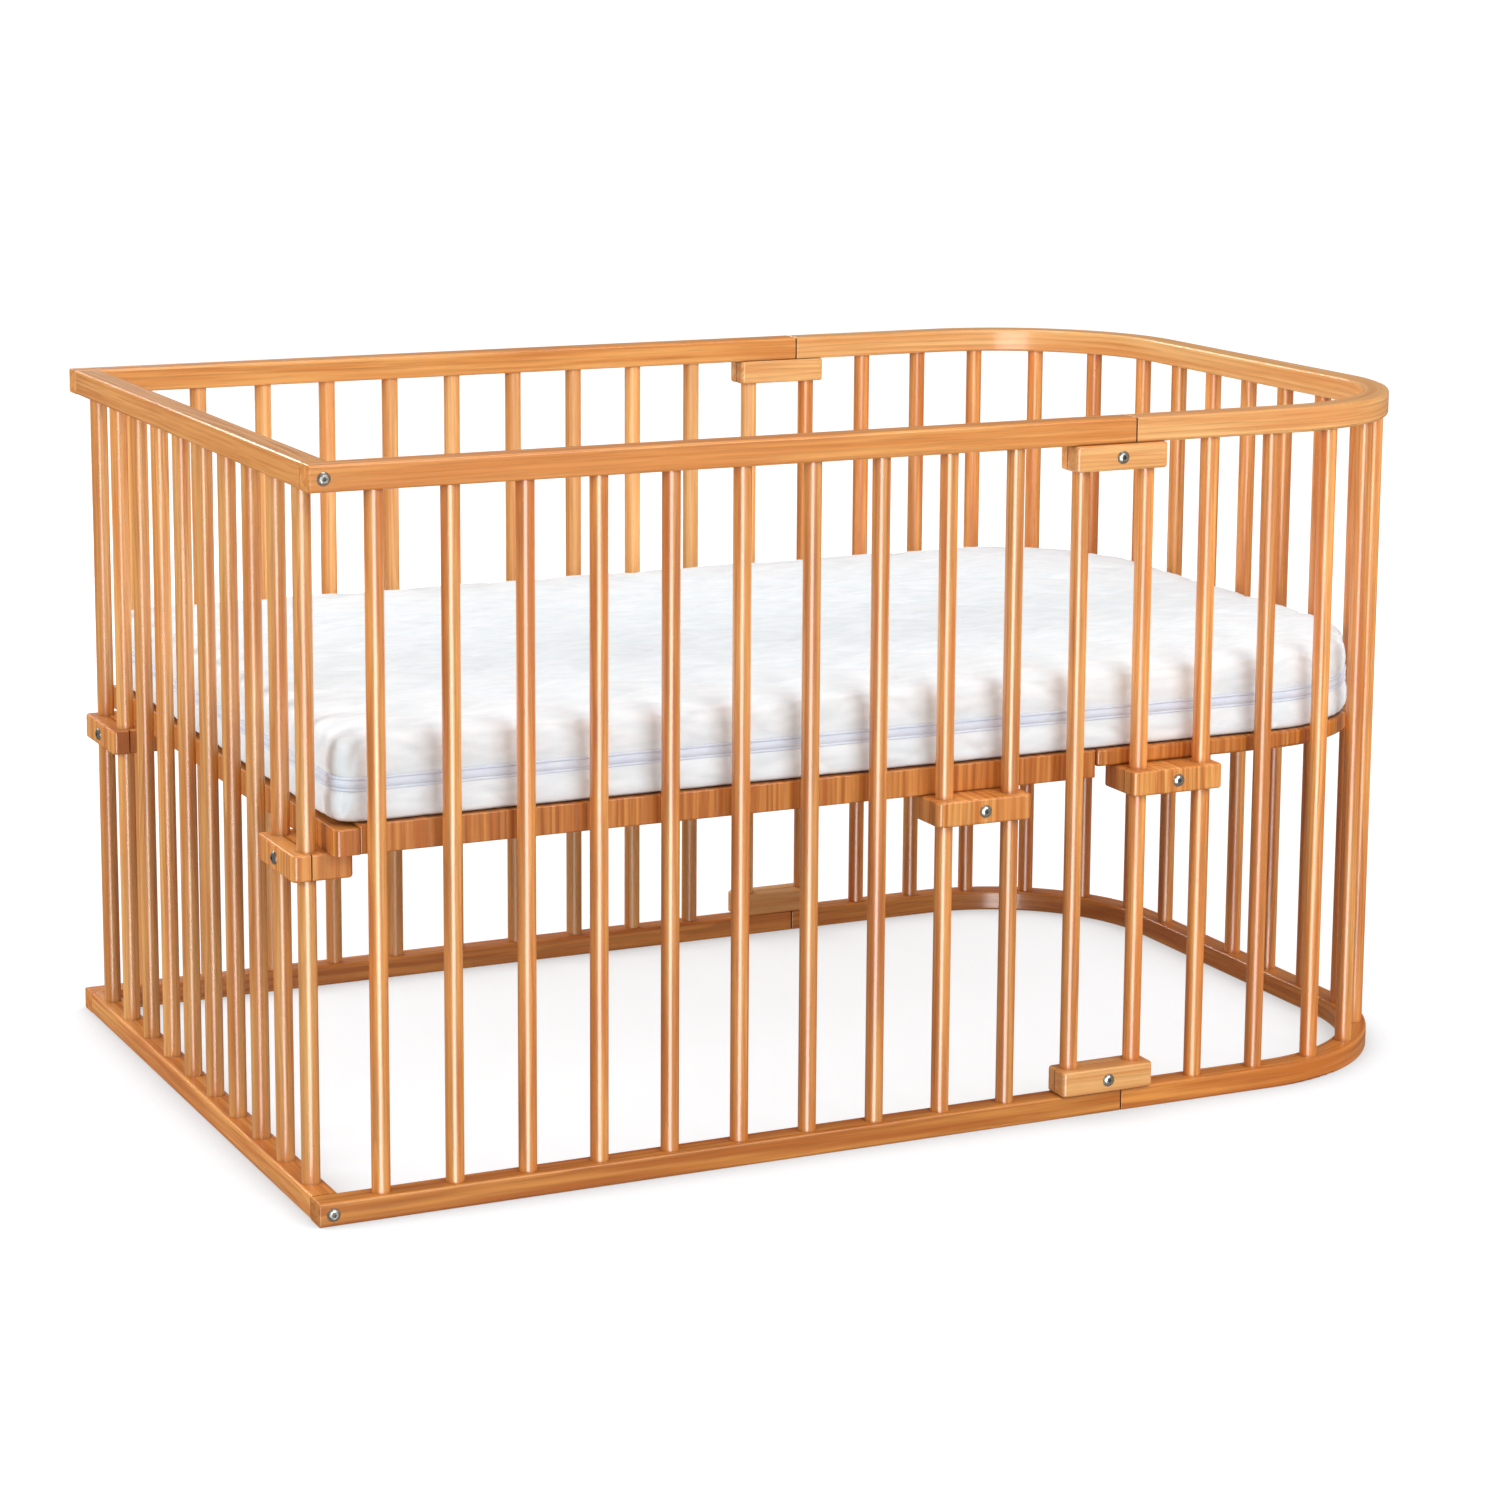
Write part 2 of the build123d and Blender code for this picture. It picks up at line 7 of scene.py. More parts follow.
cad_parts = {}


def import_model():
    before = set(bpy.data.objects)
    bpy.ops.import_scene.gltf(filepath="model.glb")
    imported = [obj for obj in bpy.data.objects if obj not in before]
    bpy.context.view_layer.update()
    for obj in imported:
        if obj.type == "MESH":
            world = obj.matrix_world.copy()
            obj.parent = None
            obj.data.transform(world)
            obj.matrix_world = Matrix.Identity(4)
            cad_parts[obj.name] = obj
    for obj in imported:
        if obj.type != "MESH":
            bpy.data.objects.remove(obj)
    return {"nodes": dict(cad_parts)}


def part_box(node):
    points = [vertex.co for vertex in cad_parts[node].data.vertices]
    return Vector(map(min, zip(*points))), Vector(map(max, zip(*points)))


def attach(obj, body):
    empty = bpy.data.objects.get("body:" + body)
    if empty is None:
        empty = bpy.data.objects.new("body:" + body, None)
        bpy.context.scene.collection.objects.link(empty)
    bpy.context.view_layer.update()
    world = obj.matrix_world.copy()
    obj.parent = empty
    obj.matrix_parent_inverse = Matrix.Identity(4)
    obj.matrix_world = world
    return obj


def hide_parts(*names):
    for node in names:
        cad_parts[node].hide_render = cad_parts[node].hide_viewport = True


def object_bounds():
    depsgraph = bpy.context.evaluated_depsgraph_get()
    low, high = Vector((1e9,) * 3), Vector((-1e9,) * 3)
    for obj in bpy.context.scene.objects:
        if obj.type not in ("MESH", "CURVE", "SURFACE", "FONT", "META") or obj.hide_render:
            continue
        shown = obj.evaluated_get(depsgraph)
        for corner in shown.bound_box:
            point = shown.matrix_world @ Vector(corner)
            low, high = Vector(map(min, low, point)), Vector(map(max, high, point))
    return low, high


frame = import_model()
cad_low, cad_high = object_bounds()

# A wooden playpen cot: honey-lacquered frame and bed base, steel bolts, white quilted mattress.
# Metres throughout, in the frame of the CAD model: +X to the rounded end, +Y to the back, +Z up.

SHAPES = frame["nodes"]
MM = 0.001

# --- the pen, as the frame gives it ---
centre = (cad_low + cad_high) / 2
pad_low, pad_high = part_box("mattress")
curve_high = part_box("curved_top_rail")[1]
side_low, side_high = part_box("front_top_rail")
rail_thickness = side_high.y - side_low.y
bend_radius = 238 * MM                       # outside radius of the round corners
bend_x = curve_high.x - bend_radius          # where the round corners start
bend_y = curve_high.y - bend_radius
rail_radius = bend_radius - rail_thickness / 2
joint_x = side_high.x                        # where the bent rails butt against the straight ones

# --- the rows of spindles ---
spindle_radius = 10 * MM
spindle_pitch = 82.9 * MM
first_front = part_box("front_spindles")[0].x + spindle_radius
first_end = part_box("end_spindles")[0].y + spindle_radius
END_NUMBERS, BEND_NUMBERS = 40.0, 80.0       # added to the counts, so that no two spindles share a number


# ---------------------------------------------------------------- node helpers
class Tree:
    """Node tree of one material, with short calls that add a node and hand back its output."""

    def __init__(self, name):
        self.material = bpy.data.materials.new(name)
        self.material.use_nodes = True
        self.nodes = self.material.node_tree.nodes
        self.links = self.material.node_tree.links
        self.nodes.clear()

    def feed(self, socket, value):
        """Link a node's output to a socket, or set the socket to a plain value."""
        if isinstance(value, bpy.types.NodeSocket):
            self.links.new(value, socket)
        else:
            socket.default_value = value

    def add(self, kind, output=0, inputs=None, **settings):
        """Add a node with these inputs and settings, and hand back one of its outputs."""
        node = self.nodes.new(kind)
        for key, value in settings.items():
            setattr(node, key, value)
        for key, value in (inputs or {}).items():
            self.feed(node.inputs[key], value)
        return node.outputs[output]

    def math(self, operation, a, b=0.0, c=0.0):
        return self.add("ShaderNodeMath", 0, {0: a, 1: b, 2: c}, operation=operation)

    def vector(self, x, y, z):
        return self.add("ShaderNodeCombineXYZ", 0, {0: x, 1: y, 2: z})

    def split(self, vector):
        node = self.nodes.new("ShaderNodeSeparateXYZ")
        self.links.new(vector, node.inputs[0])
        return node.outputs

    def place(self):
        """Where a point of the surface is, in the frame of the CAD model."""
        return self.add("ShaderNodeTexCoord", "Object")

    def scaled(self, vector, *factors):
        """A place with each of its axes stretched or squeezed by its own factor."""
        return self.add("ShaderNodeMapping", 0, {"Vector": vector, "Scale": factors})

    def noise(self, vector, scale, detail=2.0, roughness=0.5):
        inputs = {"Vector": vector, "Scale": scale, "Detail": detail, "Roughness": roughness}
        return self.add("ShaderNodeTexNoise", "Fac", inputs)

    def stretch(self, value, low, high, to_low=0.0, to_high=1.0):
        """Map a value smoothly from one range to another, and hold it at the ends."""
        node = self.nodes.new("ShaderNodeMapRange")
        node.interpolation_type = "SMOOTHSTEP"
        for key, number in (("Value", value), ("From Min", low), ("From Max", high),
                            ("To Min", to_low), ("To Max", to_high)):
            self.feed(node.inputs[key], number)
        return node.outputs[0]

    def mix(self, factor, a, b):
        """Blend from colour a to colour b."""
        node = self.nodes.new("ShaderNodeMix")
        node.data_type = "RGBA"
        # the node's colour sockets come after those for numbers and vectors
        for socket, value in ((0, factor), (6, a), (7, b)):
            self.feed(node.inputs[socket], value)
        return node.outputs[2]

    def dimmed(self, colour, value):
        """A colour made lighter or darker."""
        return self.add("ShaderNodeHueSaturation", 0, {"Value": value, "Color": colour})

    def painted_shade_share(self, reach, darkest, closed=0.25, opened=0.85):
        """Painted shade: 1 in the open, down to darkest where something else stands within reach of the
        surface.

        closed and opened are the shares of the sky above the surface that count as none and as all."""
        open_share = self.add("ShaderNodeAmbientOcclusion", "AO", {"Distance": reach}, samples=6)
        return self.stretch(open_share, closed, opened, darkest, 1.0)

    def painted_crevice_shade(self, colour, reach, darkest):
        """Painted shade: darken a colour near other surfaces, where shade would fall."""
        return self.dimmed(colour, self.painted_shade_share(reach, darkest))

    def finish(self, shader_inputs, height, bump, bump_distance):
        """Close the tree with a Principled shader, bumped by height."""
        inputs = {"Height": height, "Strength": bump, "Distance": bump_distance}
        shader_inputs["Normal"] = self.add("ShaderNodeBump", 0, inputs)
        shader = self.add("ShaderNodeBsdfPrincipled", 0, shader_inputs)
        self.add_output(shader)
        return self.material

    def add_output(self, shader):
        output = self.nodes.new("ShaderNodeOutputMaterial")
        self.links.new(shader, output.inputs[0])


def rgb(red, green, blue):
    """A colour given as display values from 0 to 255, as the linear colour that shaders take."""
    linear = []
    for level in (red, green, blue):
        share = level / 255
        linear.append(share / 12.92 if share <= 0.04045 else ((share + 0.055) / 1.055) ** 2.4)
    return (*linear, 1.0)


# ---------------------------------------------------------------- grain directions
# Each grain hands back the place along itself, and the two places across.
def grain_x(tree):
    x, y, z = tree.split(tree.place())
    return x, y, z


def grain_y(tree):
    x, y, z = tree.split(tree.place())
    return y, x, z


def grain_z(tree):
    x, y, z = tree.split(tree.place())
    return z, x, y


def grain_board(tree):
    """Upright figure on the edges of a board, and grain across the bed on its flat faces."""
    x, y, z = tree.split(tree.place())
    facing = tree.split(tree.add("ShaderNodeTexCoord", "Normal"))[2]
    flat = tree.math("GREATER_THAN", tree.math("ABSOLUTE", facing), 0.7)
    along = tree.math("MULTIPLY_ADD", flat, tree.math("SUBTRACT", y, z), z)
    depth = tree.math("MULTIPLY_ADD", flat, tree.math("SUBTRACT", z, y), y)
    return along, x, depth


def round_the_bend(tree, x, y):
    """Distance along the bent rail, from the middle of the rounded end, and distance out of its core."""
    depth = tree.math("ABSOLUTE", y)
    out_x = tree.math("MAXIMUM", tree.math("SUBTRACT", x, bend_x), 0.0)
    out_y = tree.math("MAXIMUM", tree.math("SUBTRACT", depth, bend_y), 0.0)
    turn = tree.math("SUBTRACT", math.pi / 2, tree.math("ARCTAN2", out_x, out_y))
    leg = tree.math("MAXIMUM", tree.math("SUBTRACT", bend_x, x), 0.0)
    run = tree.math("MULTIPLY_ADD", turn, rail_radius, tree.math("MINIMUM", depth, bend_y))
    along = tree.math("MULTIPLY", tree.math("ADD", run, leg), tree.math("SIGN", y))
    squares = tree.math("MULTIPLY_ADD", out_x, out_x, tree.math("MULTIPLY", out_y, out_y))
    return along, tree.math("SQRT", squares)


def grain_bend(tree):
    x, y, z = tree.split(tree.place())
    along, across = round_the_bend(tree, x, y)
    return along, across, z


# ---------------------------------------------------------------- wood
# Each palette has the pale wood, its darker streaks, the late wood and the reddish patches.
HONEY = {
    "light": rgb(240, 172, 96),
    "middle": rgb(224, 147, 69),
    "dark": rgb(150, 78, 24),
    "red": rgb(212, 122, 52),
}
SPINDLE = {
    "light": rgb(244, 174, 96),
    "middle": rgb(218, 133, 58),
    "dark": rgb(136, 70, 22),
    "red": rgb(202, 112, 44),
}
STRAW = {
    "light": rgb(242, 184, 114),
    "middle": rgb(226, 152, 80),
    "dark": rgb(152, 84, 34),
    "red": rgb(212, 126, 56),
}
AMBER = {
    "light": rgb(212, 142, 68),
    "middle": rgb(184, 108, 40),
    "dark": rgb(120, 58, 16),
    "red": rgb(176, 94, 34),
}
PALE = {
    "light": rgb(246, 192, 126),
    "middle": rgb(234, 166, 98),
    "dark": rgb(180, 108, 52),
    "red": rgb(224, 146, 82),
}
PITH_WANDER = 36 * MM         # width of the band in which the pith wanders
PITH_SPREAD = (0.05, 0.04)    # how much the sticks of one node differ in their distance from the pith
STICK_SPREAD = (3.1, 2.3)     # and in the place in the tree that they are cut from
WOOD_ROUGHNESS = 0.46         # of the wood under its lacquer
LACQUER_IOR = 1.75            # high, for a bright lacquer
JOINT_LINE = (0.5 * MM, 1.4 * MM)   # half width of the line in a butt joint, dark and faded out
JOINT_DARK = 0.25             # brightness of the wood in that line


def wood(name, grain, ring=5 * MM, contrast=0.5, colours=HONEY, piece=None, seed=0.0,
         tone=(0.0, 0.0), coat=0.5, coat_rough=0.17, jointed=False):
    """Lacquered wood: growth rings about a pith that wanders, fibres, warm patches, satin lacquer, and
    painted shade near other parts.

    ring is the width of a growth ring, contrast the darkness of its late wood, and seed the part
    of the tree that the piece is cut from. tone is how much lighter the wood is than its colours,
    for the darkest and the lightest stick. piece gives a number for each separate stick in a node,
    so that each is cut from another part of the tree. A jointed rail has a thin dark line where
    it butts against the next one."""
    tree = Tree(name)
    along, across, depth = grain(tree)
    stick = piece(tree) if piece else None
    if stick is None:
        shift_a, shift_b = seed, seed * 0.37
    else:
        own = tree.add("ShaderNodeTexWhiteNoise", "Color", {"W": stick}, noise_dimensions="1D")
        shift_a, shift_b, tint = tree.split(own)
    place = tree.vector(
        tree.math("MULTIPLY_ADD", shift_a, STICK_SPREAD[0], along),
        tree.math("MULTIPLY_ADD", shift_b, STICK_SPREAD[1], across),
        tree.math("ADD", depth, seed),
    )
    long_place = tree.scaled(place, 0.12, 1.0, 1.0)
    wander = tree.noise(long_place, 18.0, 2.0, 0.5)
    wave = tree.math("MULTIPLY", tree.math("SUBTRACT", wander, 0.5), PITH_WANDER)
    pith_a = tree.math("MULTIPLY_ADD", shift_a, PITH_SPREAD[0], tree.math("ADD", across, wave))
    pith_b = tree.math("MULTIPLY_ADD", shift_b, PITH_SPREAD[1], tree.math("ADD", depth, pith_depth(seed)))
    squares = tree.math("MULTIPLY_ADD", pith_a, pith_a, tree.math("MULTIPLY", pith_b, pith_b))
    rings = tree.math("DIVIDE", tree.math("SQRT", squares), ring)
    phase = tree.math("FRACT", rings)
    early = tree.stretch(phase, 0.2, 0.9)
    late = tree.stretch(phase, 0.9, 1.0)
    band = tree.math("SUBTRACT", early, late)
    strength = tree.noise(long_place, 45.0, 1.0, 0.5)
    ringed = tree.math("MULTIPLY", band, tree.stretch(strength, 0.3, 0.75, 0.15, 1.0))

    fibre_place = tree.scaled(place, 0.03, 1.0, 1.0)
    fibre = tree.noise(fibre_place, 420.0, 3.0, 0.6)
    streak = tree.noise(fibre_place, 120.0, 2.0, 0.5)
    patch = tree.noise(long_place, 9.0, 1.0, 0.5)

    base = tree.mix(tree.stretch(streak, 0.3, 0.7), colours["light"], colours["middle"])
    grown = tree.mix(tree.math("MULTIPLY", ringed, contrast), base, colours["dark"])
    blotch = tree.math("MULTIPLY_ADD", streak, 0.5, tree.math("MULTIPLY", patch, 0.5))
    warm = tree.math("MULTIPLY", tree.stretch(blotch, 0.45, 0.62), 0.4)
    warmed = tree.mix(warm, grown, colours["red"])
    fine = tree.mix(tree.math("MULTIPLY", tree.stretch(fibre, 0.45, 0.72), 0.26), warmed, colours["dark"])
    value = 1.0 + tone[0]
    if stick is not None:
        value = tree.stretch(tint, 0.0, 1.0, 1.0 + tone[0], 1.0 + tone[1])
    if jointed:
        x = tree.split(tree.place())[0]
        gap = tree.math("ABSOLUTE", tree.math("SUBTRACT", x, joint_x))
        value = tree.math("MULTIPLY", value, tree.stretch(gap, *JOINT_LINE, JOINT_DARK, 1.0))
    # painted shade: the wood is darkened where other parts stand close, in joints and corners
    colour = tree.painted_crevice_shade(tree.dimmed(fine, value), reach=9 * MM, darkest=0.6)
    rough = tree.stretch(fibre, 0.2, 0.8, WOOD_ROUGHNESS - 0.05, WOOD_ROUGHNESS + 0.09)
    relief = tree.math("MULTIPLY_ADD", ringed, -0.5, tree.math("MULTIPLY", fibre, 0.6))
    return tree.finish(
        {"Base Color": colour, "Roughness": rough, "Coat Weight": coat, "Coat Roughness": coat_rough,
         "Coat IOR": LACQUER_IOR, "Coat Tint": rgb(255, 250, 238), "Specular IOR Level": 0.25},
        relief, bump=0.12, bump_distance=0.6 * MM,
    )


def pith_depth(seed):
    """Depth of the pith below a board, so that boards don't all show the same cut."""
    return 0.031 + 0.017 * math.sin(seed * 7.0)


# ---------------------------------------------------------------- number of the stick that a point is on
def stick_x(tree):
    x = tree.split(tree.place())[0]
    return tree.math("ROUND", tree.math("DIVIDE", tree.math("SUBTRACT", x, first_front), spindle_pitch))


def stick_y(tree):
    y = tree.split(tree.place())[1]
    count = tree.math("ROUND", tree.math("DIVIDE", tree.math("SUBTRACT", y, first_end), spindle_pitch))
    return tree.math("ADD", count, END_NUMBERS)


def stick_bend(tree):
    x, y, z = tree.split(tree.place())
    along, across = round_the_bend(tree, x, y)
    return tree.math("ADD", tree.math("ROUND", tree.math("DIVIDE", along, spindle_pitch)), BEND_NUMBERS)


def dress(material, *names):
    """Give the CAD nodes with these names one material."""
    for name in names:
        for slot in SHAPES[name].material_slots:
            slot.material = material


dress(wood("front_top_wood", grain_x, ring=6 * MM, contrast=0.42, seed=0.3, jointed=True), "front_top_rail")
dress(wood("back_top_wood", grain_x, ring=6 * MM, contrast=0.42, seed=1.7, jointed=True), "back_top_rail")
dress(wood("end_top_wood", grain_y, ring=5 * MM, contrast=0.45, seed=2.9, coat=0.7), "end_top_rail")
dress(wood("curved_top_wood", grain_bend, ring=6 * MM, contrast=0.4, colours=PALE, seed=4.1, jointed=True),
      "curved_top_rail")
for name, grain, seed, colours, tone in (
    ("front", grain_x, 5.2, AMBER, 0.12), ("back", grain_x, 6.6, AMBER, 0.4),
    ("end", grain_y, 7.4, SPINDLE, 0.08), ("curved", grain_bend, 8.8, AMBER, 0.3),
):
    dress(wood(f"{name}_base_wood", grain, contrast=0.32, colours=colours, seed=seed, tone=(tone, tone),
               jointed=True), f"{name}_base_rail")
for name, piece, colours, darkest, lightest, coat in (
    # the back row takes a paler palette and lighter tones than the front: partly its own colour, partly
    # painted light making up for the weaker light reaching it
    ("front", stick_x, SPINDLE, -0.1, 0.06, 1.0), ("back", stick_x, PALE, -0.06, 0.12, 0.2),
    ("end", stick_y, STRAW, -0.1, 0.08, 0.8), ("curved", stick_bend, SPINDLE, -0.02, 0.16, 0.8),
):
    dress(wood(f"{name}_spindle_wood", grain_z, ring=4 * MM, contrast=0.42, colours=colours, piece=piece,
               seed=0.07 * len(name), tone=(darkest, lightest), coat=coat, coat_rough=0.3),
          f"{name}_spindles")
for side in ("front", "back"):
    for level in ("top", "base"):
        dress(wood(f"{side}_{level}_connector_wood", grain_x, ring=4 * MM, contrast=0.35, colours=PALE,
                   seed=9.0 + len(side + level)),
              f"{side}_{level}_connector_outer", f"{side}_{level}_connector_inner")
supports = [name for name in SHAPES if "_support_" in name]
dress(wood("support_wood", grain_board, ring=8 * MM, contrast=0.5, colours=SPINDLE, seed=12.5), *supports)
dress(wood("rim_wood", grain_board, ring=8 * MM, contrast=0.6, colours=AMBER, seed=14.2, tone=(0.16, 0.16)),
      "base_end_bar", "base_front_rim", "base_back_rim", "base_curved_board")
dress(wood("slat_wood", grain_y, ring=6 * MM, contrast=0.4, seed=16.0), "base_slats", "base_crossbar")
dress(wood("batten_wood", grain_x, ring=6 * MM, contrast=0.4, seed=17.0), "base_battens")
dress(wood("dowel_wood", grain_x, ring=3 * MM, contrast=0.3, seed=18.0), "base_dowels")


# ---------------------------------------------------------------- steel
STAIN = 0.62                  # brightness of a stain, as a share of the steel's own


def steel(name, colour, roughness):
    """Plated steel with fine turned marks, slight stains, and painted shade in its socket and round its
    head.
    """
    tree = Tree(name)
    place = tree.place()
    marks = tree.noise(place, 900.0, 2.0, 0.6)
    stains = tree.noise(place, 160.0, 3.0, 0.6)
    stained = (*(STAIN * level for level in colour[:3]), 1.0)
    tint = tree.mix(tree.stretch(stains, 0.35, 0.7), colour, stained)
    # painted shade: nearly black in the hex socket and where the head meets the wood
    tint = tree.painted_crevice_shade(tint, reach=4 * MM, darkest=0.05)
    rough = tree.stretch(marks, 0.25, 0.75, roughness, roughness + 0.14)
    return tree.finish(
        {"Base Color": tint, "Metallic": 1.0, "Roughness": rough},
        marks, bump=0.06, bump_distance=0.3 * MM,
    )


dress(steel("bolt_steel", rgb(216, 214, 206), 0.26), "corner_bolts", "connector_bolts", "support_bolts")
dress(steel("zinc", rgb(196, 190, 172), 0.34),
      "corner_barrel_nuts", "connector_inserts", "support_inserts", "slat_screws", "batten_screws")


# ---------------------------------------------------------------- mattress
PAD_TOP_EDGE = 22 * MM        # padded radius round the top
PAD_BASE_EDGE = 6 * MM        # and round the bottom
EDGE_STEPS = 6                # steps round each of these edges
PAD_CORNER = 30 * MM          # plan radius at the straight end
PAD_BEND = pad_high.x - bend_x  # plan radius at the rounded end
PAD_SPACING = 12 * MM         # between the points of its outline
PAD_SWELL = 4.5 * MM          # the cover starts this much too small, then fills out
BASE_SWELL = 0.5 * MM         # and this much at the bottom, which is held
PAD_CAP = 4.5 * MM            # most that the filling may push any point
PAD_SAG = 8 * MM              # below this height the cover lies flatter on the base
PAD_CROWN = 3 * MM            # how much the middle of the top stands above its edge
CROWN_REACH = 200 * MM        # how far in from the edge it goes on rising
TOP_BAND = (30 * MM, 10 * MM)  # depths below the top between which the crown sets in
VOXEL = 8 * MM                # size of the faces that the cover starts from
SIM_FRAMES = 20               # length of the cloth simulation
ZIP_LOW = pad_low.z + 33 * MM   # lower edge of the zip band
ZIP_HIGH = ZIP_LOW + 15 * MM  # and its upper edge
ZIP_RECESS = 2.2 * MM         # how far the zip draws the cover in
ZIP_FADE = 5 * MM             # how far above and below the zip it still does
ZIP_INSET = 3.6 * MM          # depth of the zip's tape inside the mattress outline
ZIP_SPACING = 8 * MM          # between the points along it
QUILT_ROW = 62 * MM           # spacing of the wavy seams
QUILT_WAVE = 190 * MM         # wavelength of a seam
QUILT_SWING = 25 * MM         # how far a seam swings to each side
QUILT_DEPTH = 2.4 * MM        # how far a seam draws the cover in
QUILT_SOFT = 13 * MM          # how far the pull of a seam reaches into the padding
QUILT_SHARP = 4 * MM          # width of the sharper groove at the seam itself
SEAM_HOLD = 6 * MM            # width over which a seam holds the cover while it fills out
SEAM_GRIP = 0.8               # and how firmly, from 0 to 1
BASE_HOLD = 2 * MM            # below this height the cover is held fast
BASE_FADE = 8 * MM            # seams and folds fade out over this height above the bottom
PUCKER = 0.5 * MM             # height of the small folds in the cover
PUCKER_WIDTH = 15 * MM        # from fold to fold
PUCKER_RUN = 230 * MM         # how often the folds come and go along the cover
pad_middle = (pad_low + pad_high) / 2
pad_half = (pad_high - pad_low) / 2


def plan_of(x, y):
    """Depth inside the mattress outline, and the way out to it, for arrays of plan points."""
    out = np.stack([x - pad_middle.x, y - pad_middle.y], 1)
    radius = np.where(out[:, 0] < 0, PAD_CORNER, PAD_BEND)[:, None]
    past = np.abs(out) - (np.array([pad_half.x, pad_half.y]) - radius)
    round_part = np.maximum(past, 0.0)
    length = np.linalg.norm(round_part, axis=1)
    depth = radius[:, 0] - length - np.minimum(past.max(1), 0.0)
    straight = np.eye(2)[past.argmax(1)]
    way = np.where(length[:, None] > 1e-9, round_part / np.maximum(length, 1e-9)[:, None], straight)
    return depth, way * np.where(out < 0, -1.0, 1.0)


def plan_points(inset, spacing):
    """The outline as evenly spaced points, counter-clockwise, each with its way out."""
    corners = (
        (pad_low.x + PAD_CORNER, -1, PAD_CORNER, 180), (bend_x, -1, PAD_BEND, 270),
        (bend_x, 1, PAD_BEND, 0), (pad_low.x + PAD_CORNER, 1, PAD_CORNER, 90),
    )
    points = []
    for x, side, radius, angle in corners:
        y = pad_middle.y + side * (pad_half.y - radius)
        steps = max(4, round(radius * math.pi / 2 / spacing))
        for i in range(steps + 1):
            turn = math.radians(angle + 90 * i / steps)
            way = Vector((math.cos(turn), math.sin(turn), 0))
            points.append((Vector((x, y, 0)) + way * (radius - inset), way))
    even = []
    for (place, way), (following, next_way) in zip(points, points[1:] + points[:1]):
        steps = max(1, round((following - place).length / spacing))
        for i in range(steps):
            even.append((place.lerp(following, i / steps), way.lerp(next_way, i / steps).normalized()))
    return even


def new_object(name, mesh):
    """Object with this mesh, linked into the scene."""
    made = bpy.data.objects.new(name, mesh)
    bpy.context.scene.collection.objects.link(made)
    return made


def settled(obj, name):
    """Mesh of an object with its modifiers applied."""
    bpy.context.view_layer.update()
    graph = bpy.context.evaluated_depsgraph_get()
    mesh = bpy.data.meshes.new_from_object(obj.evaluated_get(graph))
    mesh.name = name
    return mesh


def places(mesh):
    """Places of a mesh's vertices, as one array."""
    flat = np.empty(len(mesh.vertices) * 3)
    mesh.vertices.foreach_get("co", flat)
    return flat.reshape(-1, 3)


def loft(name, rings, capped):
    """Mesh through equal rings of points."""
    count = len(rings[0])
    points = [tuple(point) for ring in rings for point in ring]
    faces = []
    for row in range(len(rings) - 1):
        for i in range(count):
            a, b = row * count + i, row * count + (i + 1) % count
            faces.append((a, b, b + count, a + count))
    if capped:
        faces.append(tuple(reversed(range(count))))
        faces.append(tuple(range((len(rings) - 1) * count, len(rings) * count)))
    mesh = bpy.data.meshes.new(name)
    mesh.from_pydata(points, [], faces)
    mesh.update()
    return mesh


def blank_pad():
    """Slab with padded edges, a little smaller than the mattress, as an even grid of small faces."""
    top_edge = PAD_TOP_EDGE - PAD_SWELL
    rings = []
    for end, edge, swell, z in (
        (-1, PAD_BASE_EDGE, BASE_SWELL, pad_low.z + PAD_BASE_EDGE),
        (1, top_edge, PAD_SWELL, pad_high.z - PAD_SWELL - top_edge),
    ):
        for i in range(EDGE_STEPS + 1):
            step = i if end > 0 else EDGE_STEPS - i
            turn = math.radians(90 * step / EDGE_STEPS)
            inset = swell + edge * (1 - math.cos(turn))
            lift = Vector((0, 0, z + end * edge * math.sin(turn)))
            rings.append([place + lift for place, _ in plan_points(inset, PAD_SPACING)])
    rough = new_object("rough_pad", loft("rough_pad", rings, True))
    voxels = rough.modifiers.new("voxels", "REMESH")
    voxels.mode = "VOXEL"
    voxels.voxel_size = VOXEL
    mesh = settled(rough, "mattress_cover")
    bpy.data.objects.remove(rough)
    return mesh


def unrolled(points):
    """Where each point of the cover lies on the cloth laid flat: the sides fold down from the top."""
    depth, way = plan_of(points[:, 0], points[:, 1])
    drop = pad_high.z - PAD_SWELL - points[:, 2]
    return points[:, 0] + way[:, 0] * drop, points[:, 1] + way[:, 1] * drop


def seam_distance(u, v):
    """Distance to the nearest quilting seam; the seams are waves that swing against their neighbours."""
    nearest = np.full(len(u), 1.0)
    first = np.floor(v / QUILT_ROW) - 1
    for step in range(4):
        row = first + step
        swing = QUILT_SWING * np.where(row % 2 == 0, 1.0, -1.0)
        angle = 2 * math.pi * u / QUILT_WAVE
        slope = swing * 2 * math.pi / QUILT_WAVE * np.cos(angle)
        gap = np.abs(v - row * QUILT_ROW - swing * np.sin(angle)) / np.sqrt(1 + slope**2)
        nearest = np.minimum(nearest, gap)
    return nearest


def zip_pull(z):
    """1 across the zip band, fading above and below it."""
    beyond = np.maximum(np.maximum(ZIP_LOW - z, z - ZIP_HIGH), 0.0)
    return np.exp(-((beyond / ZIP_FADE) ** 2))


def puckers(u, v):
    """Small folds that run along the cover, and come and go."""
    folds = np.sin(2 * math.pi * (v / PUCKER_WIDTH + 0.7 * np.sin(u / (43 * MM))))
    return PUCKER * folds * np.sin(2 * math.pi * u / PUCKER_RUN + 1.3 * np.sin(v / (61 * MM)))


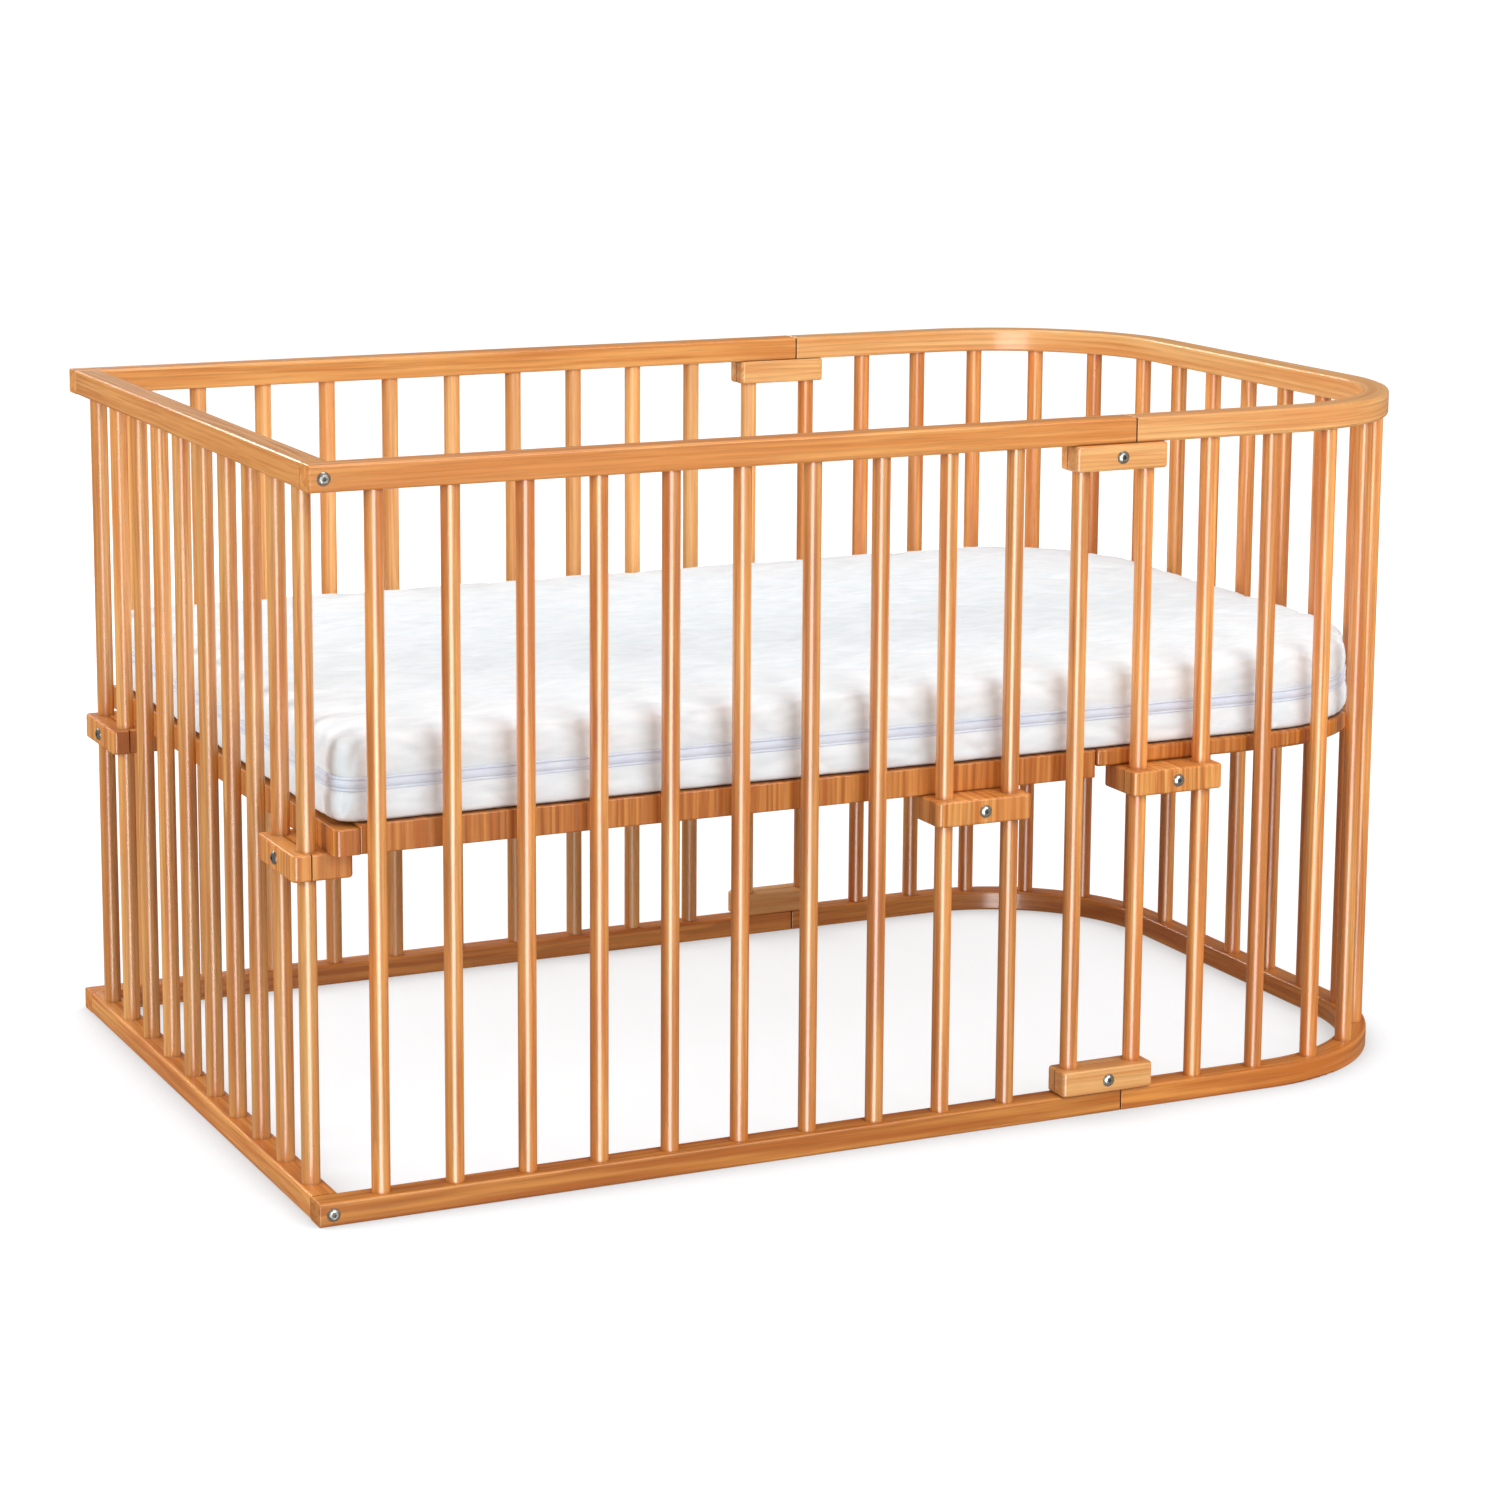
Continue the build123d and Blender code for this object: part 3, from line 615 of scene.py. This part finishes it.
def fill_out(pad):
    """Cloth simulation: the filling presses the cover out between its held seams."""
    rest = places(pad.data)
    u, v = unrolled(rest)
    held = np.exp(-((seam_distance(u, v) / SEAM_HOLD) ** 2)) * SEAM_GRIP
    held = np.maximum(held, zip_pull(rest[:, 2]))
    held[rest[:, 2] < pad_low.z + BASE_HOLD] = 1.0
    group = pad.vertex_groups.new(name="held")
    for i, weight in enumerate(held):
        if weight > 0.02:
            group.add([i], float(weight), "REPLACE")
    cloth = pad.modifiers.new("filling", "CLOTH")
    cloth.settings.quality = 4
    cloth.settings.mass = 0.3
    cloth.settings.use_pressure = True
    cloth.settings.uniform_pressure_force = 4.0
    cloth.settings.vertex_group_mass = "held"
    cloth.settings.effector_weights.gravity = 0.0
    for frame_number in range(1, SIM_FRAMES + 1):
        bpy.context.scene.frame_set(frame_number)
    swollen = places(settled(pad, "swollen"))
    pad.modifiers.remove(cloth)
    pad.vertex_groups.remove(group)
    bpy.context.scene.frame_set(1)
    move = swollen - rest
    length = np.linalg.norm(move, axis=1, keepdims=True)
    return rest + move * (PAD_CAP * np.tanh(length / PAD_CAP) / np.maximum(length, 1e-9))


def finer(mesh, points):
    """A mesh with its points moved to these places and subdivided once."""
    copy = mesh.copy()
    copy.vertices.foreach_set("co", points.ravel())
    shown = new_object("finer", copy)
    shown.modifiers.new("finer", "SUBSURF").levels = 1
    result = settled(shown, "finer")
    bpy.data.objects.remove(shown)
    return result


def mattress_cover():
    """Quilted cover: filled out, then drawn in along its seams and round its zip band."""
    blank = blank_pad()
    pad = new_object("mattress_cover", blank)
    rest = places(blank)
    full = fill_out(pad)
    laid = places(finer(blank, rest))
    mesh = finer(blank, full)
    mesh.name = "mattress_cover"
    points = places(mesh)

    normals = np.empty(len(points) * 3)
    mesh.vertices.foreach_get("normal", normals)
    normals = normals.reshape(-1, 3)
    u, v = unrolled(laid)
    gap = seam_distance(u, v)
    band = zip_pull(laid[:, 2])
    base = np.clip((laid[:, 2] - pad_low.z) / BASE_FADE, 0.0, 1.0)
    pull = 0.55 * np.exp(-((gap / QUILT_SOFT) ** 2)) + 0.45 * np.exp(-((gap / QUILT_SHARP) ** 2))
    drawn = QUILT_DEPTH * pull * (1 - band) + ZIP_RECESS * band
    points = points - normals * ((drawn + puckers(u, v) * (1 - band)) * base)[:, None]
    crown = np.clip(plan_of(laid[:, 0], laid[:, 1])[0] / CROWN_REACH, 0.0, 1.0)
    deepest, shallowest = TOP_BAND
    top = np.clip((laid[:, 2] - pad_high.z + deepest) / (deepest - shallowest), 0.0, 1.0)
    points[:, 2] += PAD_CROWN * top * crown * (2 - crown)
    above = np.maximum(points[:, 2] - pad_low.z, 0.0)
    points[:, 2] = pad_low.z + above * np.clip(above / PAD_SAG, 0.0, 1.0)
    mesh.vertices.foreach_set("co", points.ravel())
    mesh.shade_smooth()
    mesh.update()
    pad.data = mesh
    return pad


def zip_band():
    """Tape of the zip, right round the mattress, with a raised welt and a groove along each edge."""
    middle, half = (ZIP_LOW + ZIP_HIGH) / 2, (ZIP_HIGH - ZIP_LOW) / 2
    # height above the middle as a share of the half height, and how far it stands out, in mm
    welt = ((0.5, 0.3), (0.58, -0.7), (0.66, 0.3), (0.8, 1.0), (0.94, 0.3), (1.0, -0.6), (1.0, -3.0))
    profile = [(-height, proud) for height, proud in reversed(welt)] + [(0.0, 0.6)] + list(welt)
    rings = []
    for height, proud in profile:
        inset = ZIP_INSET - proud * MM
        lift = Vector((0, 0, middle + half * height))
        rings.append([place + lift for place, _ in plan_points(inset, ZIP_SPACING)])
    rings.append(rings[0])
    mesh = loft("zip_band", rings, False)
    mesh.shade_smooth()
    return new_object("zip_band", mesh)


STITCHES = 4200.0             # the knit's waves, in radians a metre


def cotton(name, low_colour, high_colour):
    """White knitted cotton: fine stitches, soft creases with painted shade in their hollows and in the
    seams, a slight sheen.
    """
    tree = Tree(name)
    place = tree.place()
    x, y, z = tree.split(place)
    rows = tree.math("MULTIPLY", tree.math("ADD", x, y), STITCHES)
    columns = tree.math("MULTIPLY", tree.math("ADD", tree.math("SUBTRACT", x, y), z), STITCHES)
    knit = tree.math("MULTIPLY", tree.math("SINE", rows), tree.math("SINE", columns))
    lint = tree.noise(place, 520.0, 2.0, 0.6)
    creases = tree.noise(tree.scaled(place, 0.35, 1.0, 1.0), 70.0, 3.0, 0.55)
    # painted shade: the cloth is darker where the creases sink and lighter where they rise
    colour = tree.mix(tree.stretch(creases, 0.3, 0.7), low_colour, high_colour)
    # painted shade in the quilting seams and along the zip's grooves
    colour = tree.painted_crevice_shade(colour, reach=5 * MM, darkest=0.72)
    threads = tree.math("MULTIPLY_ADD", knit, 0.08, tree.math("MULTIPLY", lint, 0.15))
    height = tree.math("ADD", creases, threads)
    return tree.finish(
        {"Base Color": colour, "Roughness": 0.88, "Sheen Weight": 0.25, "Sheen Roughness": 0.5,
         "Specular IOR Level": 0.3},
        height, bump=0.2, bump_distance=1 * MM,
    )


pad = mattress_cover()
band = zip_band()
for piece, look in (
    (pad, cotton("quilted_cotton", rgb(231, 241, 247), rgb(242, 249, 254))),
    (band, cotton("zip_tape", rgb(220, 231, 248), rgb(230, 239, 252))),
):
    piece.data.materials.clear()
    piece.data.materials.append(look)
    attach(piece, "mattress")
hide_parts("mattress")


# ---------------------------------------------------------------- stage, light and camera
FLOOR_REACH = 40.0            # the floor runs this far to each side
WORLD_LIGHT = 0.17            # strength of the white surroundings as a light
WORLD_SEEN = 1.05             # and as a backdrop
CAMERA_PLACE = (-1.9231, -4.0395, 1.3507)
CAMERA_TURNS = (25.459, 10.284, 0.368)   # degrees to the right of +Y, downwards, and of roll
CAMERA_LENS = 91.34           # mm, on a sensor 36 mm wide
CAMERA_SHIFT = -0.10


def floor():
    """Pale floor; only what the camera sees of it is lifted, so that it throws little light back; that lift
    is dimmed near the rails and under the pen as painted shadow.
    """
    mesh = bpy.data.meshes.new("floor")
    corners = [(x * FLOOR_REACH, y * FLOOR_REACH, 0) for x, y in ((-1, -1), (1, -1), (1, 1), (-1, 1))]
    mesh.from_pydata(corners, [], [(0, 1, 2, 3)])
    plane = new_object("floor", mesh)
    tree = Tree("pale_floor")
    seen = tree.add("ShaderNodeLightPath", "Is Camera Ray")
    place = tree.place()
    speck = tree.noise(place, 3.0, 2.0)
    pale = tree.mix(speck, rgb(158, 162, 166), rgb(154, 159, 164))
    colour = tree.mix(seen, rgb(176, 174, 170), pale)
    # painted shadow: the floor's glow is dimmed where the base rails stand close
    shade = tree.painted_shade_share(reach=130 * MM, darkest=0.6, closed=0.5, opened=0.97)
    away = tree.add("ShaderNodeVectorMath", "Value", {0: place}, operation="LENGTH")
    fade = tree.stretch(away, 0.9, 3.0, 0.78, 1.0)   # painted shade: a little less bright under and near the pen
    lift = tree.math("MULTIPLY", tree.math("MULTIPLY", seen, shade), fade)
    shader = tree.add("ShaderNodeBsdfPrincipled", 0, {
        "Base Color": colour, "Roughness": 0.9, "Specular IOR Level": 0.0,
        "Emission Color": rgb(255, 255, 255), "Emission Strength": lift})
    tree.add_output(shader)
    mesh.materials.append(tree.material)
    plane.visible_glossy = False
    plane.visible_shadow = False


def softbox(name, place, size, power, lights=True, mirrored=True):
    """Rectangular studio light, in watts, aimed at the middle of the pen.

    lights says whether it lights surfaces, and mirrored whether it shows in shiny ones."""
    data = bpy.data.lights.new(name, "AREA")
    data.shape = "RECTANGLE"
    data.size, data.size_y = size
    data.energy = power
    light = bpy.data.objects.new(name, data)
    light.location = Vector(place)
    light.rotation_euler = (centre - light.location).to_track_quat("-Z", "Y").to_euler()
    light.visible_diffuse = lights
    light.visible_glossy = mirrored
    light.visible_camera = False
    bpy.context.scene.collection.objects.link(light)


def world():
    """White all round; it lights the pen less brightly than it looks."""
    sky = bpy.data.worlds.new("studio")
    sky.use_nodes = True
    nodes, links = sky.node_tree.nodes, sky.node_tree.links
    background = nodes["Background"]
    background.inputs["Color"].default_value = (1.0, 1.0, 1.0, 1.0)
    path = nodes.new("ShaderNodeLightPath")
    strength = nodes.new("ShaderNodeMapRange")
    strength.inputs["To Min"].default_value = WORLD_LIGHT
    strength.inputs["To Max"].default_value = WORLD_SEEN
    links.new(path.outputs["Is Camera Ray"], strength.inputs["Value"])
    links.new(strength.outputs[0], background.inputs["Strength"])
    bpy.context.scene.world = sky


def camera():
    """Camera to the left of the front, a little above the top rails."""
    azimuth, tilt, roll = (math.radians(turn) for turn in CAMERA_TURNS)
    level = math.cos(tilt)
    ahead = Vector((math.sin(azimuth) * level, math.cos(azimuth) * level, -math.sin(tilt)))
    right = ahead.cross(Vector((0, 0, 1))).normalized()
    up = right.cross(ahead)
    rolled_right = right * math.cos(roll) + up * math.sin(roll)
    rolled_up = up * math.cos(roll) - right * math.sin(roll)
    turn = Matrix((rolled_right, rolled_up, -ahead)).transposed()
    data = bpy.data.cameras.new("camera")
    data.sensor_width = 36.0
    data.lens = CAMERA_LENS
    data.shift_y = CAMERA_SHIFT
    data.clip_end = 200.0
    seen_from = bpy.data.objects.new("camera", data)
    seen_from.matrix_world = Matrix.Translation(CAMERA_PLACE) @ turn.to_4x4()
    bpy.context.scene.collection.objects.link(seen_from)
    bpy.context.scene.camera = seen_from


floor()
world()
camera()
softbox("main", (0.8, -3.7, 2.8), (3.0, 2.0), 84)
softbox("front_fill", (1.3, -4.0, 1.0), (4.0, 1.8), 36, mirrored=False)
softbox("left_front", (-2.8, -2.5, 1.8), (2.6, 2.6), 32, mirrored=False)
softbox("left", (-3.8, 0.6, 1.7), (2.0, 2.0), 80, mirrored=False)
softbox("top", (0.4, 0.5, 6.0), (2.8, 2.8), 122)
softbox("right", (3.2, -1.8, 1.5), (2.4, 2.4), 36, mirrored=False)
softbox("back", (-0.7, 4.2, 2.8), (2.6, 0.7), 44)
softbox("low_back", (-0.4, 4.2, 0.9), (2.6, 1.4), 44, mirrored=False)
softbox("sheen", (-1.4, -3.35, 0.0), (1.7, 3.4), 150, lights=False)
softbox("edge_sheen", (-1.4, 3.7, 2.7), (2.4, 0.8), 36, lights=False)
bpy.context.scene.view_settings.view_transform = "Standard"
